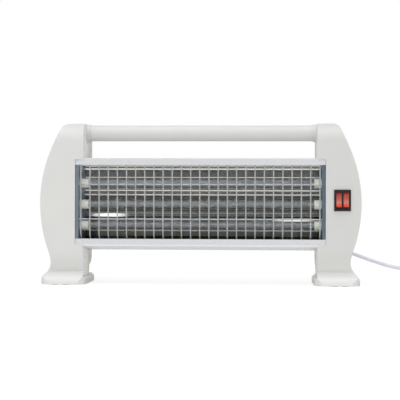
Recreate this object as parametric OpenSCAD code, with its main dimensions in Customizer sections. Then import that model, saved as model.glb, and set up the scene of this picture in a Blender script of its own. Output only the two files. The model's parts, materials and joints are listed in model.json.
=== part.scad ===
// Electric bar heater. Quartz tubes stand in a folded steel housing, which two moulded side
// covers carry between them, and a tubular handle joins the covers at the top.
// Millimetres, +Z up. The front faces -Y, and +X is the side with the switches.

/* [Overall] */
// Width over both side covers, at their widest
overall_w = 485; // [465:1:520]
// Depth over the feet
foot_d = 110; // [104:1:130]
// Height to the top of the covers
overall_h = 245.5; // [238:0.5:262]

/* [Side covers] */
// Width of a cover, from its inner face to the widest point
cover_w = 65.5; // [60:0.5:76]
// Depth of a cover above its foot
cover_d = 91; // [86:1:100]
// Wall of the moulded covers
wall = 2.4; // [1.6:0.1:3]
// Radius of the bulged outer side
bulge_r = 212; // [190:1:240]
// Height of the widest point of the bulge
bulge_z = 123; // [116:1:134]
// Rounding of the front and rear top edges
top_round = 27; // [15:1:32]
// Rounding of the outer top corner
top_corner_r = 13; // [6:1:16]
// How far the waist lies inside the widest point
waist_in = 15.8; // [12:0.1:20]
// Where the front of the waist lies, before the middle of the depth
waist_front = 33.8; // [30:0.1:38]
// Where the rear of the waist lies, behind the middle of the depth
waist_rear = 18; // [16:0.5:24]
// Height of the front crease between the neck and the foot
crease_z = 20; // [18:0.5:24]
// Rounding from the front of the panel into the neck
neck_round = 44; // [20:1:44]
// Height of the foot's outer corner, before it is rounded
foot_rim = 10.3; // [9.5:0.1:11]
// Rounding of the foot's outer side
foot_side_round = 20; // [12:1:22]
// Rounding of the foot's front
foot_front_round = 14; // [8:0.5:14]
// Height of the foot behind the neck
foot_rear_z = 12.5; // [11.5:0.5:15]
// How far the foot stands out below the inner face
foot_in = 4.5; // [4:0.5:8]
// Rounding of the foot's corners, seen from above
foot_corner = 15; // [10:0.5:18]
// How far the rubber pads stand out below the foot
pad_proud = 0.8; // [0.4:0.1:1.5]

/* [Housing] */
// Height of the housing's lower front edge
housing_z = 58.5; // [56:0.5:62]
// Height of the hand's gap between the housing and the handle
hand_gap = 27.7; // [24:0.1:34]
// How far the housing reaches into each cover
end_in = 12; // [10:0.5:14]
// Thickness of the folded sheet
sheet = 1; // [0.8:0.1:1.4]
// Height of the upper front lip
lip_upper = 10.3; // [8:0.1:13]
// Height of the lower front lip
lip_lower = 11; // [9:0.1:14]
// Where the housing's rear wall lies, behind the middle of the depth
housing_rear = 34; // [34:0.5:36]
// How far the housing's floor drops towards the rear
floor_drop = 9; // [6:0.5:11]
// How far the covers' front laps over the housing's upper and lower edges
notch_lap = 2; // [0.5:0.1:2.5]
// How far the housing's front stands behind the front of the covers
front_set = 1.4; // [0.4:0.1:1.5]

/* [Heating elements] */
// How far the highest tube lies below the upper lip
tube_below = 27.15; // [24:0.05:29]
// How far the lowest tube lies above the lower lip
tube_above = 19.75; // [17:0.05:22]
// Outer diameter of a quartz tube
tube_d = 10.5; // [9:0.1:12]
// Wall of a quartz tube
tube_wall = 1; // [0.8:0.1:1.3]
// Where the tubes lie, in front of the middle of the depth
tube_front = 5; // [3:0.5:8]
// Diameter of a ceramic cap
cap_d = 14.5; // [14:0.1:16]
// Length of a ceramic cap inside the cheek
cap_len = 10.5; // [9:0.5:12]
// Outer diameter of the filament winding
winding_d = 6.4; // [5.5:0.1:6.6]
// Diameter of the filament wire as it is drawn
filament_d = 1.2; // [1:0.1:1.4]
// Turns of each filament winding
winding_turns = 24; // [20:1:24]

/* [Reflector] */
// Thickness of the polished reflector sheet
reflector_t = 0.6; // [0.5:0.1:0.8]
// Where the backs of the troughs lie, behind the middle of the depth
trough_back = 29.5; // [28:0.5:30.5]
// How far the ridges stand in front of the backs of the troughs
ridge_proud = 8.5; // [6:0.5:10]
// Height of the flat on a ridge
ridge_flat = 5.5; // [4:0.5:8]
// Height of a ridge at its foot
ridge_foot = 16.3; // [14:0.1:18]

/* [Grille] */
// Diameter of a grille wire
wire_d = 2; // [1.6:0.1:2.4]
// Distance from one upright wire to the next
wire_pitch = 13.9; // [13.4:0.1:14]
// Height of the two cross wires above and below the middle
cross_z = 26.2; // [22:0.1:30]
// Radius of the bends at the ends of the upright wires
wire_bend = 15; // [12:0.5:16]
// Diameter of the rails that carry the wires' ends
rail_d = 2.6; // [2.2:0.1:3]

/* [Handle] */
// Diameter of the handle tube
handle_d = 24.5; // [20:0.5:25]
// Wall of the handle tube
handle_wall = 1.5; // [1:0.1:2]
// How far the top of the handle lies below the top of the covers
handle_drop = 1.5; // [1.5:0.5:5]
// Diameter of the collar round each end of the handle
collar_d = 26.8; // [26.5:0.1:27]
// How far a collar stands out
collar_w = 5; // [4:0.5:7]
// Diameter of the tie rod inside the handle
rod_d = 5; // [4:0.5:6]

/* [Switches] */
// Width of the switch bezel
bezel_w = 25; // [24:0.5:28]
// Height of the switch bezel
bezel_h = 32; // [31:0.5:36]
// Thickness of the bezel in front of the cover
bezel_t = 2; // [1.5:0.1:2.5]
// Width of a rocker
rocker_w = 7.8; // [7.6:0.1:8.4]
// Height of a rocker
rocker_h = 22.4; // [20:0.1:23]
// Distance between the two rockers
rocker_pitch = 10.6; // [10.4:0.1:11]
// Tilt of a rocker to either side
rocker_tilt = 8; // [6:0.5:9]
// Height of the middle of the switch
switch_z = 128.5; // [120:0.5:136]
// Where the switch lies, inside the widest point of the cover
switch_in = 28.5; // [26:0.5:30]
// Diameter of a rocker's pivot
pivot_d = 2.4; // [2:0.1:2.8]

/* [Cord] */
// Diameter of the supply cord
cord_d = 6; // [5.5:0.1:6.4]
// Number of loops in the stored coil
coil_loops = 6; // [4:2:6]
// Gap between neighbouring loops
coil_gap = 0.7; // [0.5:0.1:1.2]
// Inner radius of the coil, at the middle of the cord
coil_inner_r = 25; // [24:0.5:28]

/* [Hidden] */

$fn = 48;

// Clearances
fit_gap = 0.3;      // between moulded or pressed parts that sit against each other
slip_gap = 0.2;     // round a tube or a rod in its hole
run_gap = 0.05;     // radial, round a rocker's pivot
move_gap = 0.4;     // round a part that moves in an opening
eps = 0.01;

// Covers
half_w = overall_w / 2;
half_d = cover_d / 2;
half_foot = foot_d / 2;
inner_x = half_w - cover_w;
plate_x = inner_x + wall;
foot_x = half_w - 1.8;
waist_x = half_w - waist_in;
bulge_up = 24;      // angle of the outer side at the top, from upright
bulge_low = 19;     // angle of the outer side above the waist, from upright
bulge_cx = half_w - bulge_r;
bulge_mid = bulge_r / cos((bulge_up + bulge_low) / 2);
bulge_x = bulge_cx + bulge_mid * cos((bulge_up - bulge_low) / 2);
bulge_y = bulge_z + bulge_mid * sin((bulge_up - bulge_low) / 2);
top_x = bulge_cx + (bulge_r - (overall_h - bulge_z) * sin(bulge_up)) / cos(bulge_up);
waist_top = bulge_z - (bulge_r - (waist_x - bulge_cx) * cos(bulge_low)) / sin(bulge_low);
neck_lean = 40;     // angle of the front of the neck, from upright
foot_top = foot_rim + (foot_x - waist_x) / tan(neck_lean);
neck_top_front = crease_z + (half_d - waist_front) / tan(neck_lean);
neck_top_rear = waist_top - 9;
ledge_z = foot_rim - 1.2;
foot_in_x = inner_x - foot_in;

// Housing
end_x = inner_x + end_in;
cheek_x = end_x - 4.5;
front_y = -half_d + front_set;
housing_top = overall_h - handle_drop - handle_d - hand_gap;
open_low = housing_z + lip_lower;
open_top = housing_top - lip_upper;
mid_z = (open_low + open_top) / 2;
rear_low = housing_z - floor_drop;
lip_tuck = 5.5;     // how far sheet parts reach behind a lip
behind_lip = front_y + sheet + fit_gap;

// Elements
tube_count = 3;
tube_y = -tube_front;
tube_pitch = (open_top - tube_below - open_low - tube_above) / (tube_count - 1);
tube_z = [for (i = [0 : tube_count - 1]) open_top - tube_below - i * tube_pitch];
cheek_out = cheek_x + sheet;
cap_in_x = cheek_x - cap_len;
cap_seat_x = cap_in_x + 4.5;
flange_t = 2.5;
flange_d = cap_d + 3.5;
cap_end_x = cheek_out + fit_gap + flange_t + 4;
neck_d = cap_d - 4.5;
tube_half = cap_seat_x - fit_gap;
winding_rings = 8;
winding_half = tube_half - 10;
pin_d = 3;
pin_in_x = cap_seat_x + 1;
pin_out_x = cap_end_x + 3;
retainer_w = 16;
retainer_t = 1;
retainer_x = cheek_out + fit_gap + flange_t + fit_gap;

// Reflector
wing_front_z = open_top + lip_tuck;
wing_end = 6;       // how far a wing ends in front of the troughs' backs
wing_rear_z = open_top - 2;
floor_front_z = open_low - lip_tuck;
floor_rear_z = open_low + 2;
trough_flat = tube_pitch - ridge_foot;
ridge_y = trough_back - ridge_proud;
reflector_half = cheek_x - fit_gap;

// Grille
wire_r = wire_d / 2;
wire_edge = 2.2;    // least distance from an upright wire to a cheek
wires_each_side = floor((cheek_x - wire_edge) / wire_pitch);
wire_y = front_y + sheet + wire_r + 0.4;
weld = 0.3;         // how deep a cross wire or rail is welded into the upright wires
cross_y = wire_y + wire_d - weld;
rail_low_y = wire_y + wire_bend;
rail_top_y = wire_y + (wire_d + rail_d) / 2 - weld;
wing_share = (rail_low_y - behind_lip) / (trough_back - wing_end - behind_lip);
rail_low_z = floor_front_z + (floor_rear_z - floor_front_z) * wing_share + rail_d / 2 + fit_gap;
rail_top_z = open_top + rail_d / 2 + 1.2;
rail_at = [[rail_top_y, rail_top_z], [rail_low_y, rail_low_z]];
wire_top_z = rail_top_z + rail_d / 2;

// Handle
handle_z = overall_h - handle_drop - handle_d / 2;
collar_seat = 3.5;  // how deep the tube stands in a collar
tube_end_x = inner_x - collar_w + collar_seat;
rod_boss_d = rod_d + 7;
boss_h = 3;
washer_t = 1;
nut_h = 4;
rod_end_x = plate_x + boss_h + fit_gap + washer_t + nut_h + 3.5;

// Fasteners
screw_d = 3;
screw_head_d = 5.6;
screw_head_h = 2;
drive_d = 2.4;
drive_h = 1;
plate_screw_len = 11;
cheek_screw_len = 10;
base_screw_len = 8;
post_d = 7;
screw_sink = 0.4;   // how deep the heads lie in the inner plates
seat_h = 1.8;       // how far a screw's seat stands behind an inner plate
plate_screw_at = [[-30, handle_z - 26], [30, handle_z - 26], [-20, waist_top - 1], [26, waist_top - 1]];
cheek_screw_at = [[9, open_top - 9], [9, open_low + 5]];
base_t = 2.5;
base_screw_at = [[-half_foot + 13, 14], [half_foot - 13, 14], [-half_foot + 13, 58], [half_foot - 13, 58]];
pad_d = 11;
pad_at = [[-half_foot + 9, 30], [half_foot - 9, 30], [-half_foot + 9, 46], [half_foot - 9, 46]];

// Switches
switch_x = half_w - switch_in;
pivot_y = -half_d - bezel_t + 1.7;
rocker_r = rocker_h / 2 + 0.4;
body_w = bezel_w - 3;
body_h = bezel_h - 3.5;
body_depth = 19;
body_back_y = -half_d + body_depth;
switch_tab_len = 7;
window_w = rocker_w + 2 * move_gap;
window_h = 2 * (rocker_r + move_gap);
well_y = pivot_y + 5;

// Tip-over switch, over the middle of the right foot
tip_x = (foot_in_x + foot_x) / 2 + 8;
tip_y = -5;
tip_d = 6;
tip_base_z = pad_proud + base_t + fit_gap;
tip_switch_w = 18;
tip_switch_d = 12;
tip_switch_h = 16;

// Wiring
lead_d = 2.4;
lead_y = 12;
lead_z = rear_low + 11;
tab_len = 8;
tab_x = pin_out_x + tab_len;
cutout_d = 15;
cutout_y = 20;
block_x = end_x + 14;
block_z = 80;
block_w = 20;
block_h = 18;
block_d = 12.8;
block_back_y = half_d - wall - fit_gap;

// Cord, from its exit at the rear of the right cover to the coil, hand laid
exit_x = half_w - 26.5;
exit_z = 56;
relief_len = 30;
relief_end_y = half_d + relief_len;
relief_root_d = 11;
relief_tip_d = 8;
relief_flange = 1.6;
route = [
  [216, 75.5, 56], [216, 83, 55.8], [217.5, 91, 54.6], [222, 99, 52.4], [229, 105.5, 48.8],
  [238, 110.5, 44.4], [247, 113.5, 40.6], [260, 116.5, 35.8], [273, 118.5, 31.2],
  [286, 119.8, 26.8], [298, 120.2, 23.2],
  [310, 120.2, 20.4], [321, 120, 18.3], [331, 118.5, 16], [340, 114.5, 13.6], [347.5, 108, 11.2],
  [352.5, 99.5, 8.9], [354.8, 90, 6.8], [355, 81, 5], [355, 73, 4], [355, 66, 4]
];
coil_start = [355, 60];

// The coil, wound in at floor level and out again on top
layer_turns = coil_loops / 2 - 0.25;
coil_pitch = cord_d + coil_gap;
coil_outer_r = coil_inner_r + coil_pitch * layer_turns;
coil_mid = [coil_start[0] + coil_outer_r, coil_start[1]];
tie_t = 0.8;
tie_w = 8;
tie_slack = 0.9;    // beside the turns, which curve away within the tie's width
coil_z = tie_t + slip_gap + cord_d / 2;
coil_top_z = coil_z + coil_pitch;
coil_steps = 24;

// The tail from the coil to the plug, and the plug on it
tail_z = 12;
tail = [
  [coil_start[0], coil_start[1] - cord_d, coil_top_z], [355, 47, coil_top_z], [355, 41, 11],
  [355, 35, 11.6], [355, 29, tail_z], [355, 23, tail_z]
];
plug_w = 35;
plug_h = 2 * tail_z;
plug_len = 27;
plug_neck = 22;
plug_y = tail[5][1] - plug_neck;
pin_len = 19;
plug_pin_d = 4.8;
plug_pin_pitch = 19;

// ---------- outlines ----------

function unit(v) = v / norm(v);
function cross2(a, b) = a[0] * b[1] - a[1] * b[0];
function xy(p) = [p[0], p[1]];

// The points of a closed outline whose corners [x, y, radius] are rounded, true to 0.05 mm.
function rounded(c) = [
  for (i = [0 : len(c) - 1])
    let (
      p = xy(c[i]), a = xy(c[(i + len(c) - 1) % len(c)]), b = xy(c[(i + 1) % len(c)]), r = c[i][2],
      u = unit(a - p), v = unit(b - p), turn = acos(max(-1, min(1, u * v)))
    )
    each (r < 0.05 ? [p] :
      let (
        t = r / tan(turn / 2), o = p + unit(u + v) * r / sin(turn / 2),
        from = p + u * t - o, sweep = (180 - turn) * (cross2(from, u) < 0 ? 1 : -1),
        n = max(2, ceil(abs(sweep) / (2 * acos(1 - 0.05 / max(r, 0.2)))))
      )
      [for (k = [0 : n]) o + turned(from, sweep * k / n)])
];
function turned(v, a) = [v[0] * cos(a) - v[1] * sin(a), v[0] * sin(a) + v[1] * cos(a)];

// The corners of a counter-clockwise outline, moved inwards by d, with their radii to match.
function inset(c, d) = [
  for (i = [0 : len(c) - 1])
    let (
      p = xy(c[i]), a = xy(c[(i + len(c) - 1) % len(c)]), b = xy(c[(i + 1) % len(c)]),
      e1 = unit(p - a), e2 = unit(b - p), n1 = [-e1[1], e1[0]], n2 = [-e2[1], e2[0]],
      q = p + d * (n1 + n2) / (1 + n1 * n2), r = c[i][2]
    )
    [q[0], q[1], r == 0 ? 0 : cross2(e1, e2) > 0 ? max(0, r - d) : r + d]
];

// An open line of points thickened to the left of its direction.
function strip(line, t) = concat(line, [
  for (k = [0 : len(line) - 1])
    let (
      i = len(line) - 1 - k,
      e1 = unit(i > 0 ? line[i] - line[i - 1] : line[1] - line[0]),
      e2 = unit(i < len(line) - 1 ? line[i + 1] - line[i] : line[i] - line[i - 1]),
      n1 = [-e1[1], e1[0]], n2 = [-e2[1], e2[0]]
    )
    line[i] + t * (n1 + n2) / (1 + n1 * n2)
]);

// ---------- tubes along a line ----------

function step(path, i) = unit(path[i + 1] - path[i]);
function along(path, i) =
  i == 0 ? step(path, 0) :
  i == len(path) - 1 ? step(path, i - 1) : unit(step(path, i) + step(path, i - 1));

// The side vector at each point, carried along the path so that the tube doesn't twist.
function sides_of(path, i = 0, side = [0, 0, 0], out = []) =
  i == len(path) ? out :
  let (
    t = along(path, i),
    start = abs(t[2]) < 0.9 ? [0, 0, 1] : [1, 0, 0],
    last = i == 0 ? start : side,
    s = unit(last - t * (last * t))
  )
  sides_of(path, i + 1, s, concat(out, [s]));

module tube_along(path, d, n) {
  side = sides_of(path);
  rings = [for (i = [0 : len(path) - 1]) let (t = along(path, i), s = side[i], w = cross(t, s))
    for (k = [0 : n - 1]) path[i] + d / 2 * (cos(360 * k / n) * s + sin(360 * k / n) * w)];
  last = (len(path) - 1) * n;
  walls = [for (i = [0 : len(path) - 2], k = [0 : n - 1])
    let (a = i * n + k, b = i * n + (k + 1) % n)
    each [[a, b + n, b], [a, a + n, b + n]]];
  caps = [for (k = [1 : n - 2]) each [[0, k, k + 1], [last, last + k + 1, last + k]]];
  polyhedron(concat(rings, [path[0], path[len(path) - 1]]), concat(walls, caps));
}

// Least gap of a tube of diameter d to itself, between points at least skip rings apart.
function least_gap(path, d, skip) = min([
  for (i = [0 : len(path) - 1 - skip])
    min([for (j = [i + skip : len(path) - 1]) norm(path[i] - path[j])])
]) - d;

// ---------- shared shapes ----------

module on_side(side) {
  if (side > 0) children();
  else mirror([1, 0, 0]) children();
}

// An outline in (y, z), drawn out along X from x0 to x1.
module along_x(points, x0, x1) {
  translate([x0, 0, 0]) rotate([90, 0, 90]) linear_extrude(x1 - x0) polygon(points);
}

// An outline in (x, z), drawn out along Y from y0 to y1.
module along_y(points, y0, y1) {
  translate([0, y1, 0]) rotate([90, 0, 0]) linear_extrude(y1 - y0) polygon(points);
}

module rod_x(x0, x1, d, at) {
  translate([x0, at[0], at[1]]) rotate([0, 90, 0]) cylinder(d = d, h = x1 - x0);
}

module rod_y(y0, y1, d, at) {
  translate([at[0], y0, at[1]]) rotate([-90, 0, 0]) cylinder(d = d, h = y1 - y0);
}

module box(x, y, z) {
  translate([x[0], y[0], z[0]]) cube([x[1] - x[0], y[1] - y[0], z[1] - z[0]]);
}

// ---------- side covers ----------

function front_corners(bottom) = [
  [foot_in_x, bottom, 0], [foot_x, bottom, 0], [foot_x, foot_rim, foot_side_round],
  [waist_x, foot_top, 20], [waist_x, waist_top, 40], [bulge_x, bulge_y, bulge_r],
  [top_x, overall_h, top_corner_r],
  [inner_x, overall_h, 2], [inner_x, ledge_z + 2, 2], [foot_in_x, ledge_z, 2]
];
function side_corners(bottom) = [
  [-half_foot, bottom, 0], [half_foot, bottom, 0], [half_foot, foot_rear_z, 3],
  [waist_rear, foot_rear_z + 0.5, 3], [waist_rear, neck_top_rear - 6, 6], [half_d, neck_top_rear, 12],
  [half_d, overall_h, top_round], [-half_d, overall_h, top_round], [-half_d, neck_top_front, neck_round],
  [-waist_front, crease_z, 1.2], [-half_foot, foot_rim, foot_front_round]
];
function housing_corners() = [
  [front_y, housing_z, 1.6], [housing_rear, rear_low, 6], [housing_rear, housing_top, 6],
  [front_y, housing_top, 1.6]
];

// Cuts the four upright corners of a foot to a rounding, seen from above.
module foot_corner_cuts(x0, x1, y, r, top) {
  for (x = [x0, x1], s = [-1, 1]) {
    cx = x == x0 ? x0 + r : x1 - r;
    out = x == x0 ? -1 : 1;
    difference() {
      translate([cx + (out < 0 ? -r - 2 : 0), s > 0 ? y - r : -y - 2, -6]) cube([r + 2, r + 2, top + 6]);
      translate([cx, s * (y - r), -7]) cylinder(r = r, h = top + 8);
    }
  }
}

module cover_form(d, bottom) {
  difference() {
    intersection() {
      along_y(rounded(inset(front_corners(bottom), d)), -half_foot - 1, half_foot + 1);
      along_x(rounded(inset(side_corners(bottom), d)), foot_in_x - 1, half_w + 1);
    }
    foot_corner_cuts(foot_in_x + d, foot_x - d, half_foot - d, foot_corner - d, foot_top);
  }
}

// The mouth that the inner plate closes, d inside the cover's own outline.
module mouth(d, x0, x1) {
  intersection() {
    along_x(rounded(inset(side_corners(-4), d)), x0, x1);
    box([x0 - 1, x1 + 1], [-half_foot, half_foot], [ledge_z + d, overall_h]);
  }
}

// The room that the housing takes in the covers, with a gap all round, and the notch that shows its lips.
module housing_room(x0, x1) {
  along_x(rounded(inset(housing_corners(), -fit_gap)), x0, x1);
  box([x0, x1], [-half_d - 2, front_y + 3], [housing_z + notch_lap, housing_top - notch_lap]);
}

module cover_posts() {
  for (p = plate_screw_at) rod_x(plate_x + seat_h + fit_gap, half_w, post_d, p);
  for (p = cheek_screw_at) rod_x(cheek_out + fit_gap, half_w, post_d, p);
  for (p = base_screw_at)
    translate([foot_in_x + p[1], p[0], tip_base_z]) cylinder(d = post_d, h = crease_z - tip_base_z);
}

module side_cover(side) {
  difference() {
    union() {
      difference() {
        cover_form(0, pad_proud);
        cover_form(wall, -4);
        mouth(wall, foot_in_x - 2, plate_x + wall);
        housing_room(foot_in_x - 2, end_x + fit_gap);
      }
      intersection() {
        cover_form(wall / 2, pad_proud - wall);
        cover_posts();
      }
    }
    for (p = plate_screw_at) rod_x(inner_x, plate_x + 10, screw_d - 2 * slip_gap, p);
    for (p = cheek_screw_at) rod_x(inner_x, cheek_out + 10, screw_d - 2 * slip_gap, p);
    for (p = base_screw_at)
      translate([foot_in_x + p[1], p[0], 0]) cylinder(d = screw_d - 2 * slip_gap, h = 10);
    if (side > 0) {
      box([switch_x - body_w / 2 - fit_gap, switch_x + body_w / 2 + fit_gap],
        [-half_d - 1, -half_d + wall + 1],
        [switch_z - body_h / 2 - fit_gap, switch_z + body_h / 2 + fit_gap]);
      rod_y(half_d - wall - 1, half_d + 1, relief_root_d + 2 * slip_gap, [exit_x, exit_z]);
    }
  }
}

module left_side_cover() color([0.86, 0.86, 0.85]) on_side(-1) side_cover(-1);
module right_side_cover() color([0.86, 0.86, 0.85]) side_cover(1);

module inner_plate() {
  difference() {
    union() {
      mouth(wall + fit_gap, inner_x, plate_x);
      rod_x(inner_x - collar_w, inner_x, collar_d, [0, handle_z]);
      rod_x(inner_x - eps, plate_x + boss_h, rod_boss_d, [0, handle_z]);
      for (p = plate_screw_at) rod_x(inner_x + eps, plate_x + seat_h, screw_head_d + 3, p);
    }
    housing_room(inner_x - 1, plate_x + 1);
    rod_x(inner_x - collar_w - 1, tube_end_x + slip_gap, handle_d + 2 * slip_gap, [0, handle_z]);
    rod_x(inner_x - collar_w, plate_x + boss_h + 1, rod_d + 2 * slip_gap, [0, handle_z]);
    for (p = plate_screw_at) {
      rod_x(inner_x - 1, plate_x + seat_h + 1, screw_d + 2 * slip_gap, p);
      rod_x(inner_x - 1, inner_x + screw_sink + screw_head_h, screw_head_d + 2 * slip_gap, p);
    }
  }
}

module left_inner_plate() color([0.84, 0.84, 0.82]) on_side(-1) inner_plate();
module right_inner_plate() color([0.84, 0.84, 0.82]) inner_plate();

module base_plate(side) {
  in = wall + fit_gap;
  z0 = pad_proud;
  difference() {
    box([foot_in_x + in, foot_x - in], [-half_foot + in, half_foot - in], [z0, z0 + base_t]);
    foot_corner_cuts(foot_in_x + in, foot_x - in, half_foot - in, foot_corner - in, foot_top);
    for (p = base_screw_at) translate([foot_in_x + p[1], p[0], z0 - 1]) {
      cylinder(d = screw_d + 2 * slip_gap, h = base_t + 2);
      cylinder(d = screw_head_d + 2 * slip_gap, h = 1 + screw_head_h);
    }
    for (p = pad_at) translate([foot_in_x + p[1], p[0], z0 - 1]) cylinder(d = pad_d + 2 * slip_gap, h = 2);
    if (side > 0) translate([tip_x, tip_y, z0 - 1]) cylinder(d = tip_d + 2 * move_gap, h = base_t + 2);
  }
}

module left_base_plate() color([0.78, 0.78, 0.77]) on_side(-1) base_plate(-1);
module right_base_plate() color([0.78, 0.78, 0.77]) base_plate(1);

module foot_pads() color([0.2, 0.2, 0.2]) {
  for (s = [-1, 1], p = pad_at)
    translate([s * (foot_in_x + p[1]), p[0], 0]) cylinder(d = pad_d, h = pad_proud + 1);
}

module screw(l) difference() {
  union() {
    cylinder(d = screw_head_d, h = screw_head_h);
    cylinder(d = screw_d - 3 * slip_gap, h = l);
  }
  translate([0, 0, -1]) cylinder(d = drive_d, h = 1 + drive_h, $fn = 6);
}

module base_screws() color([0.7, 0.7, 0.72]) {
  for (s = [-1, 1], p = base_screw_at)
    translate([s * (foot_in_x + p[1]), p[0], pad_proud]) screw(base_screw_len);
}

module plate_screws() color([0.7, 0.7, 0.72]) {
  for (s = [-1, 1], p = plate_screw_at) on_side(s)
    translate([inner_x + screw_sink, p[0], p[1]]) rotate([0, 90, 0]) screw(plate_screw_len);
}

// ---------- handle ----------

module handle_tube() color([0.9, 0.9, 0.89]) difference() {
  rod_x(-tube_end_x, tube_end_x, handle_d, [0, handle_z]);
  rod_x(-tube_end_x - 1, tube_end_x + 1, handle_d - 2 * handle_wall, [0, handle_z]);
}

module handle_tie_rod() color([0.7, 0.7, 0.72]) rod_x(-rod_end_x, rod_end_x, rod_d, [0, handle_z]);

module tie_rod_nuts() color([0.75, 0.75, 0.77]) {
  nut_x = plate_x + boss_h + fit_gap;
  for (s = [-1, 1]) on_side(s) difference() {
    union() {
      rod_x(nut_x, nut_x + washer_t, rod_d + 6, [0, handle_z]);
      translate([nut_x + washer_t, 0, handle_z]) rotate([0, 90, 0])
        cylinder(d = rod_d + 4, h = nut_h, $fn = 6);
    }
    rod_x(plate_x, rod_end_x + 5, rod_d + 0.1, [0, handle_z]);
  }
}

// ---------- housing ----------

module housing() color([0.84, 0.85, 0.86]) difference() {
  along_x(rounded(housing_corners()), -end_x, end_x);
  along_x(rounded(inset(housing_corners(), sheet)), -end_x - 1, end_x + 1);
  box([-end_x - 1, end_x + 1], [front_y - 1, front_y + sheet + 1], [open_low, open_top]);
  for (z = [mid_z - 20, mid_z, mid_z + 20], i = [-6 : 6])
    box([i * 26 - 9, i * 26 + 9], [housing_rear - sheet - 1, housing_rear + 1], [z - 2, z + 2]);
}

// The folded line of the reflector in (y, z), from the front of the upper wing down.
function reflector_line() = concat(
  [[behind_lip, wing_front_z], [trough_back - wing_end, wing_rear_z]],
  [for (i = [0 : tube_count - 1]) each concat(
    [[trough_back, tube_z[i] + trough_flat / 2], [trough_back, tube_z[i] - trough_flat / 2]],
    i < tube_count - 1
      ? [for (k = [1, -1]) [ridge_y, (tube_z[i] + tube_z[i + 1]) / 2 + k * ridge_flat / 2]] : []
  )],
  [[trough_back - wing_end, floor_rear_z], [behind_lip, floor_front_z]]
);

module reflector() color([0.62, 0.62, 0.6])
  along_x(strip(reflector_line(), reflector_t), -reflector_half, reflector_half);

module cheek() {
  in = sheet + fit_gap;
  difference() {
    union() {
      along_x(rounded(inset(housing_corners(), in)), cheek_x, cheek_out);
      box([cheek_x, end_x], [behind_lip, behind_lip + sheet], [housing_z + in + 1, housing_top - in - 1]);
      box([cheek_x, end_x], [-20, 20], [housing_top - in - sheet, housing_top - in]);
    }
    for (z = tube_z) rod_x(cheek_x - 1, cheek_out + 1, cap_d + 2 * slip_gap, [tube_y, z]);
    for (p = rail_at) rod_x(cheek_x - 1, cheek_out + 1, rail_d + 2 * slip_gap, p);
    for (p = cheek_screw_at) rod_x(cheek_x - 1, cheek_out + 1, screw_d + 2 * slip_gap, p);
    rod_x(cheek_x - 1, cheek_out + 1, lead_d + 2, [lead_y, lead_z]);
  }
}

module left_cheek() color([0.66, 0.71, 0.78]) on_side(-1) cheek();
module right_cheek() color([0.66, 0.71, 0.78]) cheek();

module cheek_screws() color([0.7, 0.7, 0.72]) {
  for (s = [-1, 1], p = cheek_screw_at) on_side(s)
    translate([cheek_x - screw_head_h, p[0], p[1]]) rotate([0, 90, 0]) screw(cheek_screw_len);
}

// ---------- grille ----------

// Straight behind the upper lip, and bent back to the lower rail.
module upright_wire() {
  low = rail_low_z + wire_bend;
  translate([0, wire_y, low - eps]) cylinder(d = wire_d, h = wire_top_z - low + eps);
  translate([0, rail_low_y, low]) rotate([0, 90, 0]) rotate([0, 0, 270]) rotate_extrude(angle = 90)
    translate([wire_bend, 0]) circle(d = wire_d);
}

module grille_wires() color([0.8, 0.82, 0.85])
  for (i = [-wires_each_side : wires_each_side]) translate([i * wire_pitch, 0, 0]) upright_wire();

// The cross wires and the rails, which the upright wires are welded to.
module grille_rods() color([0.8, 0.82, 0.85]) {
  for (z = [mid_z - cross_z, mid_z + cross_z])
    rod_x(-cheek_x + fit_gap, cheek_x - fit_gap, wire_d, [cross_y, z]);
  for (p = rail_at) rod_x(-cheek_out - 1, cheek_out + 1, rail_d, p);
}

// ---------- heating elements ----------

module quartz_tube(i) color([0.82, 0.84, 0.86, 0.5]) difference() {
  rod_x(-tube_half, tube_half, tube_d, [tube_y, tube_z[i]]);
  rod_x(-tube_half - 1, tube_half + 1, tube_d - 2 * tube_wall, [tube_y, tube_z[i]]);
}
module upper_quartz_tube() quartz_tube(0);
module middle_quartz_tube() quartz_tube(1);
module lower_quartz_tube() quartz_tube(2);

// The filament's line: a straight lead, the winding, and a straight lead at the other end.
function filament_line() = let (
    r = (winding_d - filament_d) / 2, n = winding_turns * winding_rings
  )
  concat(
    [[-pin_in_x, 0, 0], [-pin_in_x + 2 * filament_d, 0, 0]],
    [for (k = [0 : n]) let (a = 360 * k / winding_rings, grow = min(1, k / 3, (n - k) / 3))
      [-winding_half + 2 * winding_half * k / n, r * grow * cos(a), r * grow * sin(a)]],
    [[pin_in_x - 2 * filament_d, 0, 0], [pin_in_x, 0, 0]]
  );
echo(filament_least_gap = least_gap(filament_line(), filament_d, winding_rings));

module filament(i) color([0.45, 0.44, 0.42])
  translate([0, tube_y, tube_z[i]]) tube_along(filament_line(), filament_d, 6);
module upper_filament() filament(0);
module middle_filament() filament(1);
module lower_filament() filament(2);

module ceramic_cap(z) difference() {
  union() {
    rod_x(cap_in_x, cheek_out + fit_gap + flange_t, cap_d, [tube_y, z]);
    rod_x(cheek_out + fit_gap, cheek_out + fit_gap + flange_t, flange_d, [tube_y, z]);
    rod_x(cheek_out + flange_t, cap_end_x, neck_d, [tube_y, z]);
  }
  rod_x(cap_in_x - 1, cap_seat_x, tube_d + 2 * slip_gap, [tube_y, z]);
  rod_x(cap_in_x, cap_end_x + 1, pin_d + 2 * slip_gap, [tube_y, z]);
}
module left_ceramic_caps() color([0.93, 0.9, 0.82]) on_side(-1) for (z = tube_z) ceramic_cap(z);
module right_ceramic_caps() color([0.93, 0.9, 0.82]) for (z = tube_z) ceramic_cap(z);

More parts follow.
